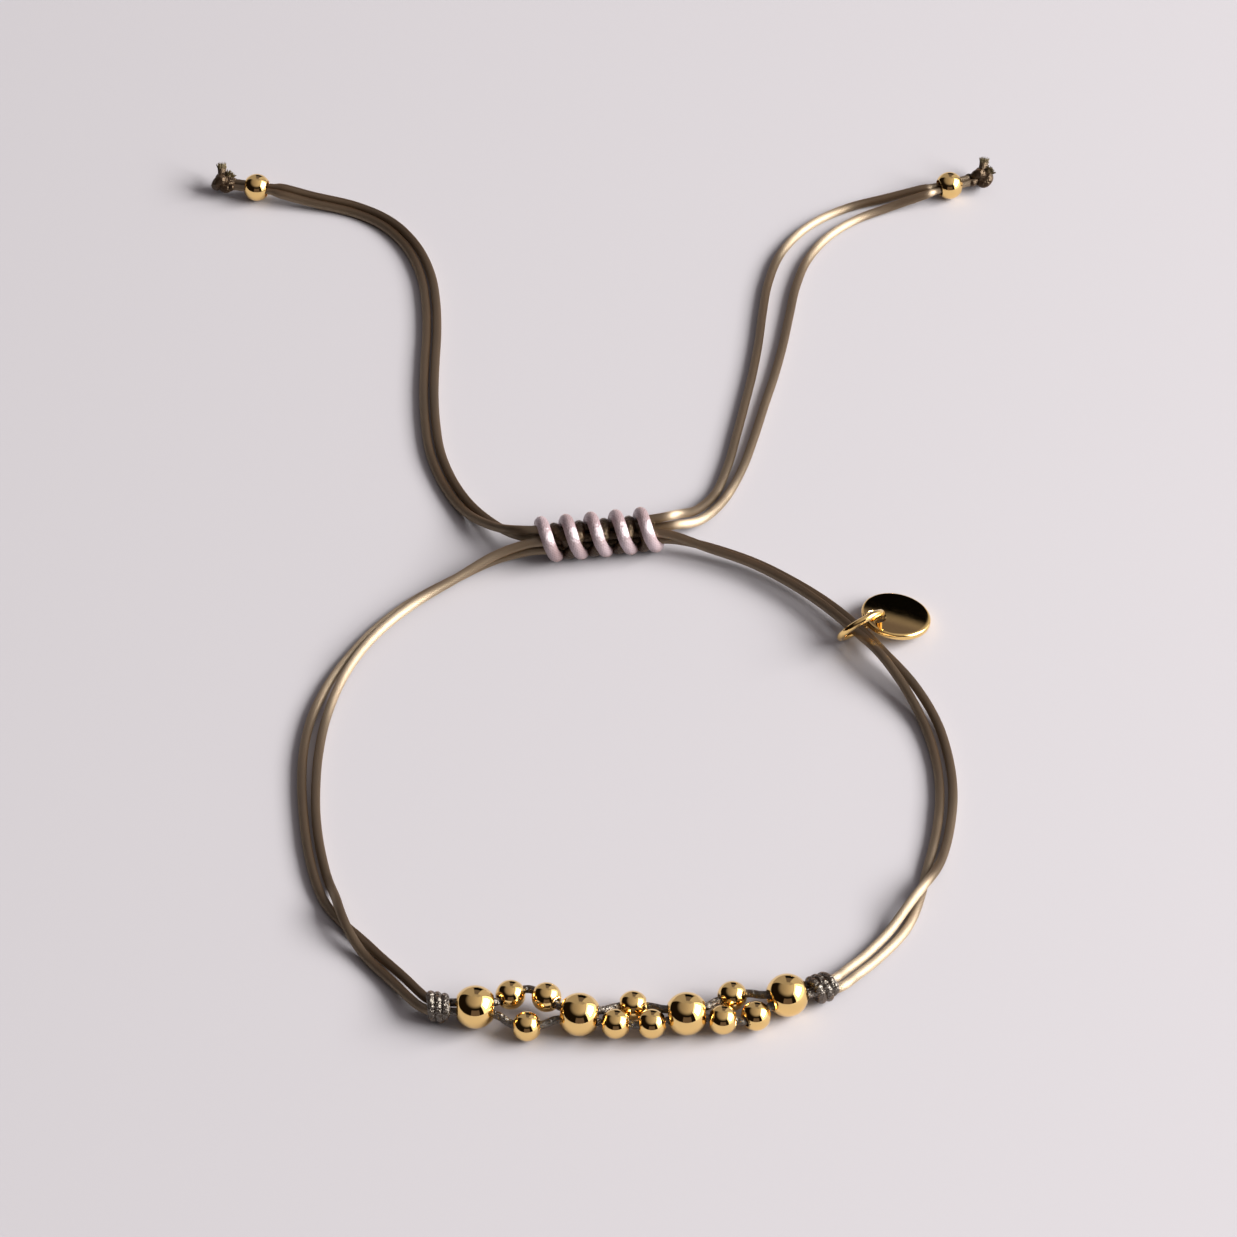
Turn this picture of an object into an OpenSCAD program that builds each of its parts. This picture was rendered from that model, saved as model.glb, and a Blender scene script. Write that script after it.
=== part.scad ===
// Silk cord bracelet with gold beads, laid open on a table.
// Two strands of satin cord make the wrist loop, and pass on through a sliding knot as two tails.
// Millimetres, +Z up. The table is z = 0, and x = y = 0 is the middle of the wrist loop.
// The beads lie at the front, along -Y, and the sliding knot at the back, along +Y.

/* [Cord] */
// diameter of each strand of the loop and of the tails
cord_d = 1.0; // [0.9:0.05:1.05]
// diameter of the thinner run of cord that carries the front beads
bead_cord_d = 0.85; // [0.7:0.05:0.9]
// diameter of a tail's strand where its end bead squeezes it
squeezed_d = 0.74; // [0.6:0.02:0.76]

/* [Beads] */
// diameter of the four big round beads
big_d = 4.5; // [4.3:0.1:4.5]
// length of a big bead between the flats at its bore
big_l = 3.8; // [3.6:0.1:3.8]
// bore of a big bead, wide enough for both strands
big_bore = 2.2; // [2.1:0.05:2.25]
// diameter of the nine small round beads
small_d = 3.1; // [2.8:0.1:3.1]
// length of a small bead between its flats
small_l = 2.7; // [2.5:0.1:2.7]
// bore of a small bead, for one strand
small_bore = 1.15; // [1.1:0.05:1.3]
// diameter of the bead on the end of each tail
tail_d = 3.2; // [2.8:0.1:3.2]
// length of a tail bead between its flats
tail_l = 2.5; // [2.4:0.1:2.5]
// bore of a tail bead, for both of the squeezed strands
tail_bore = 1.9; // [1.85:0.05:2.0]

/* [Knots] */
// outer diameter of the two wrapped knots beside the front beads
knot_d = 3.2; // [3.0:0.1:3.2]
// length of each of those knots
knot_l = 3.0; // [2.8:0.1:3.1]
// thickness of one turn of cord in a knot
turn_d = 1.1; // [1.0:0.05:1.1]
// diameter of the knot that stops each tail's end
end_knot_d = 2.9; // [2.7:0.1:2.9]
// length of the frayed cord ends past each end knot
stub_l = 1.2; // [1.0:0.1:1.4]
// thickness of a frayed cord end
stub_d = 1.0; // [0.8:0.1:1.0]

/* [Sliding knot] */
// length of the sliding knot
slider_l = 13.0; // [12.8:0.1:13.4]
// outer diameter over the raised turns
slider_d = 5.2; // [5.0:0.1:5.2]
// diameter of the packed core under the turns
slider_core_d = 4.0; // [4.0:0.05:4.2]
// outer diameter over the lower turns, which cross between the raised ones
slider_low_d = 4.9; // [4.7:0.05:4.9]
// thickness of a turn of the sliding knot
slider_turn = 1.4; // [1.3:0.05:1.4]
// distance from one raised turn to the next
slider_pitch = 2.85; // [2.7:0.05:2.9]
// how far the raised turns lean from square to the cord, in degrees
slider_lean = 12; // [10:1:14]

/* [Charm] */
// diameter of the plain round disc
disc_d = 7.7; // [7.5:0.1:7.7]
// thickness of the disc
disc_t = 0.9; // [0.85:0.05:0.9]
// width of the chamfer round the disc's rim
disc_rim = 0.2; // [0.1:0.05:0.25]
// hole through the disc for the ring
disc_hole = 2.1; // [2.0:0.05:2.1]
// distance from the disc's middle to that hole
disc_reach = 2.55; // [2.5:0.05:2.55]
// mean diameter of the jump ring
ring_d = 5.2; // [5.15:0.05:5.25]
// wire of the jump ring
ring_wire = 0.75; // [0.7:0.05:0.75]

/* [Hidden] */

cord_colour = [0.36, 0.29, 0.24];
gold_colour = [0.86, 0.66, 0.33];

// sides round a cord, and smoothness of turned pieces
CORD_SIDES = 8;
ROUND = 48;
// rings of a tube from one row of its table to the next
RINGS_PER_ROW = 3;
// room round a cord in the hole of a knot
SOCKET_ROOM = 0.15;
// how far such a hole goes past the cord's end
SOCKET_PAST = 0.25;
// longest stretch of cord that a hole has to clear inside a knot
SOCKET_RUN = 2.4;
// how far a bead's cord runs straight past the bead's flats
BORE_PAST = 0.12;

// Each pair of strands is one table. Columns: x and y of the pair's middle line, height of the
// lower strand's axis, distance between the two axes, turn of the pair about its middle line
// in degrees (0 side by side, 90 strand a on top), and diameter of a strand.
X = 0;
Y = 1;
LOW = 2;
APART = 3;
TURN = 4;
THICK = 5;

// left side of the loop, from the sliding knot to the beads
LOOP_LEFT = [
    [-8.6, 32.9, 1.6, 1.3, 90, cord_d],
    [-11.2, 32.5, 1.6, 1.3, 85, cord_d],
    [-14.8, 31.1, 1.4, 1.25, 70, cord_d],
    [-19.0, 28.5, 0.9, 1.25, 50, cord_d],
    [-23.1, 25.6, 0.6, 1.25, 40, cord_d],
    [-26.6, 22.0, 0.5, 1.25, 38, cord_d],
    [-29.4, 17.9, 0.5, 1.3, 35, cord_d],
    [-31.6, 13.5, 0.5, 1.4, 20, cord_d],
    [-33.1, 8.7, 0.5, 1.6, 6, cord_d],
    [-33.8, 3.8, 0.5, 1.65, 0, cord_d],
    [-33.9, -1.2, 0.5, 1.5, 0, cord_d],
    [-33.6, -6.1, 0.5, 1.3, 0, cord_d],
    [-32.9, -11.1, 0.5, 1.3, 0, cord_d],
    [-31.7, -16.0, 0.5, 1.3, 8, cord_d],
    [-29.8, -20.6, 0.5, 1.3, 90, cord_d],
    [-27.0, -24.7, 0.5, 1.3, 165, cord_d],
    [-23.9, -28.5, 0.8, 1.3, 180, cord_d],
    [-22.1, -31.0, 1.2, 1.3, 180, cord_d],
    [-21.0, -32.4, 1.5, 1.3, 180, cord_d],
    [-19.9, -33.1, 1.6, 1.3, 180, cord_d]
];
// right side of the loop, from the sliding knot to the beads
LOOP_RIGHT = [
    [2.5, 34.4, 1.6, 1.3, 90, cord_d],
    [5.2, 34.2, 1.6, 1.3, 114, cord_d],
    [9.0, 33.1, 1.35, 1.25, 138, cord_d],
    [13.7, 31.1, 1.1, 1.25, 141, cord_d],
    [17.8, 28.3, 1.05, 1.25, 143, cord_d],
    [21.6, 24.8, 1.2, 1.25, 148, cord_d],
    [24.8, 20.8, 1.55, 1.25, 150, cord_d],
    [27.7, 16.7, 1.65, 1.25, 140, cord_d],
    [30.5, 12.5, 1.2, 1.3, 165, cord_d],
    [32.6, 7.8, 0.7, 1.4, 180, cord_d],
    [33.7, 2.8, 0.5, 1.4, 180, cord_d],
    [34.0, -2.3, 0.5, 1.4, 180, cord_d],
    [33.5, -7.4, 0.5, 1.35, 180, cord_d],
    [32.4, -12.4, 0.5, 1.3, 200, cord_d],
    [30.7, -17.2, 0.5, 1.3, 270, cord_d],
    [28.3, -21.8, 0.5, 1.3, 340, cord_d],
    [25.3, -25.8, 0.8, 1.3, 360, cord_d],
    [23.2, -28.2, 1.2, 1.3, 360, cord_d],
    [22.0, -29.6, 1.5, 1.3, 360, cord_d],
    [20.7, -30.4, 1.6, 1.3, 360, cord_d]
];
// left tail, from the sliding knot to its end knot
TAIL_LEFT = [
    [-8.7, 34.1, 2.3, 1.3, 90, cord_d],
    [-11.4, 34.2, 2.2, 1.3, 80, cord_d],
    [-14.2, 36.1, 1.4, 1.25, 45, cord_d],
    [-17.4, 39.8, 0.7, 1.25, 10, cord_d],
    [-19.8, 44.2, 0.5, 1.2, 0, cord_d],
    [-21.4, 49.0, 0.5, 1.2, 0, cord_d],
    [-22.1, 53.8, 0.5, 1.2, 0, cord_d],
    [-22.4, 58.8, 0.5, 1.2, 0, cord_d],
    [-22.4, 63.8, 0.5, 1.2, 0, cord_d],
    [-22.3, 68.8, 0.5, 1.2, 0, cord_d],
    [-22.5, 73.8, 0.5, 1.2, 0, cord_d],
    [-23.2, 78.7, 0.5, 1.2, 0, cord_d],
    [-24.9, 83.4, 0.5, 1.2, 0, cord_d],
    [-27.8, 87.4, 0.5, 1.2, 0, cord_d],
    [-31.8, 90.0, 0.5, 1.2, 0, cord_d],
    [-36.8, 91.3, 0.9, 1.2, 0, cord_d],
    [-40.2, 92.0, 1.5, 1.15, 0, cord_d],
    [-41.5, 92.25, 1.6, 0.88, 0, squeezed_d],
    [-43.3, 92.6, 1.6, 0.88, 0, squeezed_d],
    [-46.4, 93.2, 1.6, 0.88, 0, squeezed_d]
];
// right tail, from the sliding knot to its end knot
TAIL_RIGHT = [
    [2.4, 35.6, 2.3, 1.3, 90, cord_d],
    [5.2, 36.4, 2.1, 1.3, 75, cord_d],
    [8.0, 38.4, 1.2, 1.25, 30, cord_d],
    [10.5, 42.4, 0.6, 1.35, 0, cord_d],
    [12.2, 47.1, 0.5, 1.7, 0, cord_d],
    [13.4, 52.0, 0.5, 2.0, 0, cord_d],
    [14.5, 57.0, 0.5, 2.2, 0, cord_d],
    [15.6, 62.0, 0.5, 2.5, 0, cord_d],
    [16.5, 67.0, 0.5, 2.8, 0, cord_d],
    [17.2, 72.0, 0.5, 3.1, 0, cord_d],
    [18.0, 77.0, 0.5, 3.25, 0, cord_d],
    [19.5, 81.8, 0.5, 3.25, 0, cord_d],
    [22.3, 86.0, 0.5, 2.9, 0, cord_d],
    [26.2, 89.1, 0.5, 2.3, 0, cord_d],
    [30.8, 90.9, 0.8, 1.6, 0, cord_d],
    [34.6, 91.8, 1.5, 1.15, 0, cord_d],
    [36.1, 92.3, 1.6, 0.88, 0, squeezed_d],
    [37.9, 92.95, 1.6, 0.88, 0, squeezed_d],
    [40.7, 94.0, 1.6, 0.88, 0, squeezed_d]
];

// Front beads. Columns: x, y and z of the middle, and the heading of the bore in degrees.
HEADING = 3;
BIG = [
    [-15.6, -33.7, 2.25, 0],
    [-4.9, -34.7, 2.25, -8],
    [6.1, -34.6, 2.25, 5],
    [16.45, -32.1, 2.25, 22]
];
SMALL = [
    [-12.0, -32.0, 2.2, 35],
    [-8.3, -32.5, 2.4, -42],
    [-10.3, -35.7, 1.55, 0],
    [-1.2, -35.7, 1.95, 0],
    [0.6, -32.9, 1.55, 0],
    [2.5, -35.7, 1.95, 8],
    [9.8, -35.1, 1.9, -3],
    [10.8, -31.9, 1.9, 20],
    [13.2, -34.5, 1.8, 36]
];
// Tail beads, with the same columns.
TAIL_BEADS = [
    [-43.3, 92.6, 1.6, 169],
    [37.9, 92.95, 1.6, 20]
];
// Knots beside the beads, with the same columns.
LEFT_KNOT = [-19.4, -33.3, 1.75, -15];
RIGHT_KNOT = [20.0, -30.7, 1.75, 22];
// End knots of the tails, with the same columns; the heading is the way of the frayed ends.
END_LEFT = [-47.3, 93.4, 1.55, 68];
END_RIGHT = [41.7, 94.4, 1.55, 50];
// Sliding knot, with the same columns.
SLIDER = [-3.1, 34.3, 2.6, 7.5];
// its raised turns, and the lower ones between them, counted in turns from its middle
RAISED_TURNS = [-2, -1, 0, 1, 2];
LOWER_TURNS = [-1.5, -0.5, 0.5, 1.5];
// lean of the lower turns, as a share of the raised turns' lean
LOWER_LEAN = -0.8;

// the two frayed ends of an end knot: turned to each side, and rise for each millimetre of run
STUB_TURN = 28;
STUB_RISE = 0.6;

// where the two strands lie in a big bead's bore: across it, and above its axis
LANE_A = [0.53, 0.1];
LANE_B = [-0.5, -0.2];

// Charm: middle of the disc, heading of the side that rests on the table, and the tilt to it.
DISC = [29.42, 22.99, 1.32];
DISC_DOWN = 45;
DISC_TILT = 12;
// heading from the hole to the disc's middle
DISC_HEADING = 23.5;
// heading of the ring's plane, and its lean along the cord from upright
RING_HEADING = 35;
RING_LEAN = 28.8;
// where on the ring the disc hangs, in degrees below the ring's outer side
RING_SEAT = 24;

// small functions
function unit(v) = v / norm(v);
function heading(a) = [cos(a), sin(a), 0];
function across(a) = [-sin(a), cos(a), 0];
function at(row) = [row[0], row[1], row[2]];

// smooth curve through the rows of a table, all columns together
function between(p, q, r, s, t) =
    (2 * q + (r - p) * t + (2 * p - 5 * q + 4 * r - s) * t * t + (3 * q - p - 3 * r + s) * t * t * t) / 2;
function last(list) = list[len(list) - 1];
function smooth(rows) = [
    for (i = [0:len(rows) - 2])
        let (before = rows[max(i - 1, 0)])
        let (after = rows[min(i + 2, len(rows) - 1)])
        for (j = [0:RINGS_PER_ROW - 1])
            between(before, rows[i], rows[i + 1], after, j / RINGS_PER_ROW),
    last(rows)
];

// way along a list of points at point i
function way(points, i) = unit(points[min(i + 1, len(points) - 1)] - points[max(i - 1, 0)]);
function flat_way(rows, i) =
    let (d = rows[min(i + 1, len(rows) - 1)] - rows[max(i - 1, 0)])
    unit([d[X], d[Y], 0]);

// axis of one strand of a pair, with its thickness; side is 1 for strand a and -1 for strand b
function strand(table, side) =
    let (rows = smooth(table))
    [
        for (i = [0:len(rows) - 1])
            let (r = rows[i])
            let (w = flat_way(rows, i))
            let (reach = side * r[APART] / 2)
            let (middle = r[LOW] + r[APART] / 2 * abs(sin(r[TURN])))
            [
                r[X] - w[1] * reach * cos(r[TURN]),
                r[Y] + w[0] * reach * cos(r[TURN]),
                middle + reach * sin(r[TURN]),
                r[THICK]
            ]
    ];

// point of a bead's bore, along its axis and off it
function in_bore(bead, along, lane) =
    at(bead) + along * heading(bead[HEADING]) + lane[0] * across(bead[HEADING]) + [0, 0, lane[1]];
function through_big(i, lane) = [
    in_bore(BIG[i], -big_l / 2 - BORE_PAST, lane),
    in_bore(BIG[i], big_l / 2 + BORE_PAST, lane)
];
function through_small(i) = [
    in_bore(SMALL[i], -small_l / 2 - BORE_PAST, [0, 0]),
    in_bore(SMALL[i], small_l / 2 + BORE_PAST, [0, 0])
];
// the two strands through the front beads, from the left knot to the right one
KNOT_LANE_A = [0.55, 0.3];
KNOT_LANE_B = [-0.55, 0.2];
// how far these strands go into the knots
KNOT_BITE = 0.9;
function bead_route_a() = concat(
    [in_bore(LEFT_KNOT, knot_l / 2 - KNOT_BITE, KNOT_LANE_A)],
    through_big(0, LANE_A),
    through_small(0),
    through_small(1),
    through_big(1, LANE_A),
    through_small(4),
    through_big(2, LANE_A),
    through_small(7),
    through_big(3, LANE_A),
    [in_bore(RIGHT_KNOT, KNOT_BITE - knot_l / 2, KNOT_LANE_A)]
);
function bead_route_b() = concat(
    [in_bore(LEFT_KNOT, knot_l / 2 - KNOT_BITE, KNOT_LANE_B)],
    through_big(0, LANE_B),
    through_small(2),
    through_big(1, LANE_B),
    through_small(3),
    through_small(5),
    through_big(2, LANE_B),
    through_small(6),
    through_small(8),
    through_big(3, LANE_B),
    [in_bore(RIGHT_KNOT, KNOT_BITE - knot_l / 2, KNOT_LANE_B)]
);
function thick(points, d) = [for (p = points) [p[0], p[1], p[2], d]];

// the jump ring's own directions: out on the disc's side, and up along the ring's lean
RING_OUT = heading(RING_HEADING);
RING_UP = sin(RING_LEAN) * heading(RING_HEADING - 90) + [0, 0, cos(RING_LEAN)];
// way out of the disc's face, way from its middle to its hole, and the middle of the hole
DISC_FACE = sin(DISC_TILT) * heading(DISC_DOWN) + [0, 0, cos(DISC_TILT)];
DISC_OUT = heading(DISC_HEADING);
DISC_TO_HOLE = unit(-DISC_OUT + (DISC_OUT * DISC_FACE) * DISC_FACE);
HOLE_AT = DISC + disc_reach * DISC_TO_HOLE;
RING_AT = HOLE_AT - ring_d / 2 * (cos(RING_SEAT) * RING_OUT - sin(RING_SEAT) * RING_UP);

// turns the Z axis to a way, and moves to a point
module face(point, w) {
    translate(point)
        rotate([0, acos(w[2]), atan2(w[1], w[0])])
            children();
}

// one tube along points that carry their own thickness
module tube(points) {
    n = len(points);
    rings = [
        for (i = [0:n - 1])
            let (p = [points[i][0], points[i][1], points[i][2]])
            let (before = points[max(i - 1, 0)])
            let (after = points[min(i + 1, n - 1)])
            let (w = unit([after[0] - before[0], after[1] - before[1], after[2] - before[2]]))
            let (s = unit(cross(w, [0, 0, 1])))
            let (u = cross(s, w))
            for (k = [0:CORD_SIDES - 1])
                let (a = (k + 0.5) * 360 / CORD_SIDES)
                p + points[i][3] / 2 * (cos(a) * s + sin(a) * u)
    ];
    walls = [
        for (i = [0:n - 2])
            for (k = [0:CORD_SIDES - 1])
                let (m = (k + 1) % CORD_SIDES)
                [i * CORD_SIDES + k, i * CORD_SIDES + m, (i + 1) * CORD_SIDES + m, (i + 1) * CORD_SIDES + k]
    ];
    start = [[for (k = [0:CORD_SIDES - 1]) CORD_SIDES - 1 - k]];
    end = [[for (k = [0:CORD_SIDES - 1]) (n - 1) * CORD_SIDES + k]];
    polyhedron(points = rings, faces = concat(start, walls, end), convexity = 6);
}

// round bead with a flat at each end of its bore, which runs along X
module bead(d, l, bore) {
    rotate([0, 90, 0])
        difference() {
            sphere(d = d, $fn = ROUND);
            for (s = [-1, 1])
                translate([0, 0, s * (l / 2 + d / 2)])
                    cube([2 * d, 2 * d, d], center = true);
            cylinder(d = bore, h = 2 * l, center = true, $fn = ROUND);
        }
}

module place(row) {
    translate(at(row))
        rotate([0, 0, row[HEADING]])
            children();
}

module round_wire(mean_d, wire) {
    rotate_extrude($fn = ROUND)
        translate([mean_d / 2, 0])
            circle(d = wire, $fn = ROUND / 2);
}

// hole in a knot round the end of a strand; the strand comes from the point "from"
module socket(end, from, d) {
    w = unit([end[0] - from[0], end[1] - from[1], end[2] - from[2]]);
    stop = [end[0], end[1], end[2]] + SOCKET_PAST * w;
    face(stop - SOCKET_RUN * w, w)
        cylinder(d = d + 2 * SOCKET_ROOM, h = SOCKET_RUN, $fn = ROUND / 2);
}

// hole for the first or the last end of a strand
module first_socket(points, d) {
    socket(points[0], points[1], d);
}
module last_socket(points, d) {
    n = len(points);
    socket(points[n - 1], points[n - 2], d);
}

module pair_strand(table, side) {
    color(cord_colour)
        tube(strand(table, side));
}
module loop_left_a() pair_strand(LOOP_LEFT, 1);
module loop_left_b() pair_strand(LOOP_LEFT, -1);
module loop_right_a() pair_strand(LOOP_RIGHT, 1);
module loop_right_b() pair_strand(LOOP_RIGHT, -1);
module tail_left_a() pair_strand(TAIL_LEFT, 1);
module tail_left_b() pair_strand(TAIL_LEFT, -1);
module tail_right_a() pair_strand(TAIL_RIGHT, 1);
module tail_right_b() pair_strand(TAIL_RIGHT, -1);
module bead_cord_a() {
    color(cord_colour)
        tube(thick(bead_route_a(), bead_cord_d));
}
module bead_cord_b() {
    color(cord_colour)
        tube(thick(bead_route_b(), bead_cord_d));
}

module big_bead(i) {
    color(gold_colour)
        place(BIG[i])
            bead(big_d, big_l, big_bore);
}
module small_bead(i) {
    color(gold_colour)
        place(SMALL[i])
            bead(small_d, small_l, small_bore);
}
module tail_bead(i) {
    color(gold_colour)
        place(TAIL_BEADS[i])
            bead(tail_d, tail_l, tail_bore);
}

// three turns of cord round a core, along X
module wrapped_knot() {
    rotate([0, 90, 0])
        cylinder(d = knot_d - turn_d, h = knot_l, center = true, $fn = ROUND);
    for (s = [-1, 0, 1])
        translate([s * (knot_l - turn_d) / 2, 0, 0])
            rotate([0, 90, 0])
                round_wire(knot_d - turn_d, turn_d);
}
module left_knot() {
    color(cord_colour)
        difference() {
            place(LEFT_KNOT)
                wrapped_knot();
            last_socket(strand(LOOP_LEFT, 1), cord_d);
            last_socket(strand(LOOP_LEFT, -1), cord_d);
            first_socket(bead_route_a(), bead_cord_d);
            first_socket(bead_route_b(), bead_cord_d);
        }
}
module right_knot() {
    color(cord_colour)
        difference() {
            place(RIGHT_KNOT)
                wrapped_knot();
            last_socket(strand(LOOP_RIGHT, 1), cord_d);
            last_socket(strand(LOOP_RIGHT, -1), cord_d);
            last_socket(bead_route_a(), bead_cord_d);
            last_socket(bead_route_b(), bead_cord_d);
        }
}

// ball of a knot with one turn round it and two frayed cord ends
module end_knot(row, tail) {
    color(cord_colour)
        difference() {
            union() {
                translate(at(row))
                    sphere(d = end_knot_d, $fn = ROUND);
                face(at(row), unit(heading(row[HEADING]) + [0, 0, 1]))
                    round_wire(end_knot_d - stub_d / 2, stub_d);
                for (s = [-1, 1])
                    face(at(row), unit(heading(row[HEADING] + s * STUB_TURN) + [0, 0, STUB_RISE]))
                        cylinder(d = stub_d, h = end_knot_d / 2 + stub_l, $fn = ROUND / 2);
            }
            last_socket(strand(tail, 1), squeezed_d);
            last_socket(strand(tail, -1), squeezed_d);
        }
}
module end_knot_left() end_knot(END_LEFT, TAIL_LEFT);
module end_knot_right() end_knot(END_RIGHT, TAIL_RIGHT);

// raised turns lean one way, and the lower turns between them lean the other way
module slider_turns() {
    for (i = RAISED_TURNS)
        translate([i * slider_pitch, 0, 0])
            rotate([0, 90, slider_lean])
                round_wire(slider_d - slider_turn, slider_turn);
    for (i = LOWER_TURNS)
        translate([i * slider_pitch, 0, 0])
            rotate([0, 90, LOWER_LEAN * slider_lean])
                round_wire(slider_low_d - slider_turn, slider_turn);
}
module sliding_knot() {
    color(cord_colour)
        difference() {
            place(SLIDER) {
                rotate([0, 90, 0])
                    cylinder(d = slider_core_d, h = slider_l, center = true, $fn = ROUND);
                slider_turns();
            }
            for (table = [LOOP_LEFT, LOOP_RIGHT, TAIL_LEFT, TAIL_RIGHT])
                for (side = [-1, 1])
                    first_socket(strand(table, side), cord_d);
        }
}

module jump_ring() {
    color(gold_colour)
        multmatrix([
            [RING_OUT[0], RING_UP[0], cross(RING_OUT, RING_UP)[0], RING_AT[0]],
            [RING_OUT[1], RING_UP[1], cross(RING_OUT, RING_UP)[1], RING_AT[1]],
            [RING_OUT[2], RING_UP[2], cross(RING_OUT, RING_UP)[2], RING_AT[2]],
            [0, 0, 0, 1]
        ])
            round_wire(ring_d, ring_wire);
}
module charm_disc() {
    r = disc_d / 2;
    h = disc_t / 2;
    // half of the disc's section, from below to above
    lower = [[0, -h], [r - disc_rim, -h], [r, disc_rim - h]];
    upper = [[r, h - disc_rim], [r - disc_rim, h], [0, h]];
    color(gold_colour)
        difference() {
            face(DISC, DISC_FACE)
                rotate_extrude($fn = 2 * ROUND)
                    polygon(concat(lower, upper));
            face(HOLE_AT, DISC_FACE)
                cylinder(d = disc_hole, h = 3 * disc_t, center = true, $fn = ROUND);
        }
}

loop_left_a();
loop_left_b();
loop_right_a();
loop_right_b();
tail_left_a();
tail_left_b();
tail_right_a();
tail_right_b();
bead_cord_a();
bead_cord_b();
big_bead(0);  // big_bead_1
big_bead(1);  // big_bead_2
big_bead(2);  // big_bead_3
big_bead(3);  // big_bead_4
small_bead(0);  // small_bead_1
small_bead(1);  // small_bead_2
small_bead(2);  // small_bead_3
small_bead(3);  // small_bead_4
small_bead(4);  // small_bead_5
small_bead(5);  // small_bead_6
small_bead(6);  // small_bead_7
small_bead(7);  // small_bead_8
small_bead(8);  // small_bead_9
tail_bead(0);  // tail_bead_left
tail_bead(1);  // tail_bead_right
left_knot();
right_knot();
end_knot_left();
end_knot_right();
sliding_knot();
jump_ring();
charm_disc();
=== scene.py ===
"""Silk cord bracelet laid open on a pale floor: satin cords, gold beads, wound knots and a disc charm."""

from math import cos, hypot, pi, radians, sin

import bmesh
import bpy
from mathutils import Matrix, Vector


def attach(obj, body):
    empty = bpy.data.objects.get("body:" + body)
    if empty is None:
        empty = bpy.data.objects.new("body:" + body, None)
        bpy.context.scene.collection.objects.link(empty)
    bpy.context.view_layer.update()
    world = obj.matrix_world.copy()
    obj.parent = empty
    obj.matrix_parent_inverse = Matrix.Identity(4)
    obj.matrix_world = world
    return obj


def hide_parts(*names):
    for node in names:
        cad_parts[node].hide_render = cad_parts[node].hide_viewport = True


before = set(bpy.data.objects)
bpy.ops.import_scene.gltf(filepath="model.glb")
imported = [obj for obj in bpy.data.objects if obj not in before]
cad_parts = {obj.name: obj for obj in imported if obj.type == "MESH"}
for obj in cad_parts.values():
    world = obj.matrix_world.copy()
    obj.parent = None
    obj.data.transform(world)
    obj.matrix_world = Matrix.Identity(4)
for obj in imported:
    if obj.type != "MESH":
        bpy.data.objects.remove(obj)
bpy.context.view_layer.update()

MM = 0.001

# Camera of the photo: it looks down at 46 degrees from the front. The photo's side and the focal
# length are in pixels, the sensor and the camera's place in millimetres.
PHOTO_SIDE = 1237
FOCAL_PIXELS = 6045
SENSOR = 36.0
CAMERA_AT = (-0.9, -435.96, 476.2)
CAMERA_ELEVATION = 46
# nearest and farthest that it sees, in metres
CLIP_START, CLIP_END = 0.01, 20

# Cord, in millimetres, as in the part's source
CORD_D = 1.0
BEAD_CORD_D = 0.85
SQUEEZED_D = 0.74
# sides of a cord's tube, and its rounded end: how far out each ring lies and how wide it is, as
# shares of the cord's radius and thickness
CORD_SIDES, SLIDER_SIDES, END_KNOT_SIDES = 18, 24, 12
ROUND_END = ((0.45, 0.9), (0.8, 0.62), (0.97, 0.28))

# Beads: diameter, length along the bore, and width of the bore
BIG_D, BIG_L, BIG_BORE = 4.5, 3.8, 2.2
SMALL_D, SMALL_L, SMALL_BORE = 3.1, 2.7, 1.15
TAIL_D, TAIL_L, TAIL_BORE = 3.2, 2.5, 1.9
# width of the rounded lips of the bore, and the ball's faces round the bore and from end to end
BEAD_LIP, BEAD_SEGMENTS, BEAD_RINGS = 0.08, 64, 36

# Windings of the wrapped knots and of the sliding knot: diameter over all, thickness of the strand
# that is wound, turns, their spacing, how far they lean, and the angle of the start in degrees.
# The sliding knot's turns are spaced a little closer than its solid's, to keep inside it. Its lower
# winding is of the other hand, drawn in where the raised one crosses it, and dips on top.
SLIDER_PITCH = 2.85 * 0.97
WRAPPED = {"d": 3.2, "thick": 0.94, "turns": 2.9, "pitch": 0.78, "lean": 0.3, "start": -60}
RAISED = {"d": 5.2, "thick": 1.4, "turns": 5.3, "pitch": SLIDER_PITCH, "lean": -0.3, "start": -54}
LOWER = {
    "d": 4.8, "thick": 1.25, "turns": 4.3, "pitch": SLIDER_PITCH, "lean": -0.4, "start": 126,
    "hand": -1, "waist": 0.12, "dip": 0.35,
}
# points of a winding in one turn
WOUND_STEPS = 40
# each end is tucked under: over what share of a turn, down to what share of the radius, and how far
# back in thicknesses of the strand; a dip starts where the sine of the angle is this far below zero
TUCK_TURN, TUCK_RADIUS, TUCK_BACK = 0.35, 0.45, 1.6
DIP_START = 0.3
# the four strands inside the sliding knot: places across it, thickness, and half of the length
INNER_PLACES = ((-0.55, -0.85), (-0.55, 0.2), (0.5, -0.3), (0.5, 0.7))
INNER_D, INNER_HALF = 0.9, 6

# End knots: size of the knotted ball, its strand and its lean in degrees; the strand follows a
# trefoil, whose formula reaches 3 from the middle
END_KNOT_D, END_STRAND, END_KNOT_LEAN = 2.9, 1.15, 35
TREFOIL_REACH, TREFOIL_HEIGHT, TREFOIL_STEPS = 3, 1.6, 72
# the two cut ends: turn in degrees and reach past the ball; thickness, slope, start and steps
STUBS = ((28, 0.25), (-28, -0.5))
STUB_D, STUB_RISE, STUB_START, STUB_STEPS = 1.0, 0.6, 0.3, 6
# the tail's strands in the knot: distances from its middle as shares of that of a strand's end, and
# how much thicker they are than the strand
RUN_IN, RUN_IN_MORE = (1.3, 1.0, 0.7, 0.4), 0.08
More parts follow.
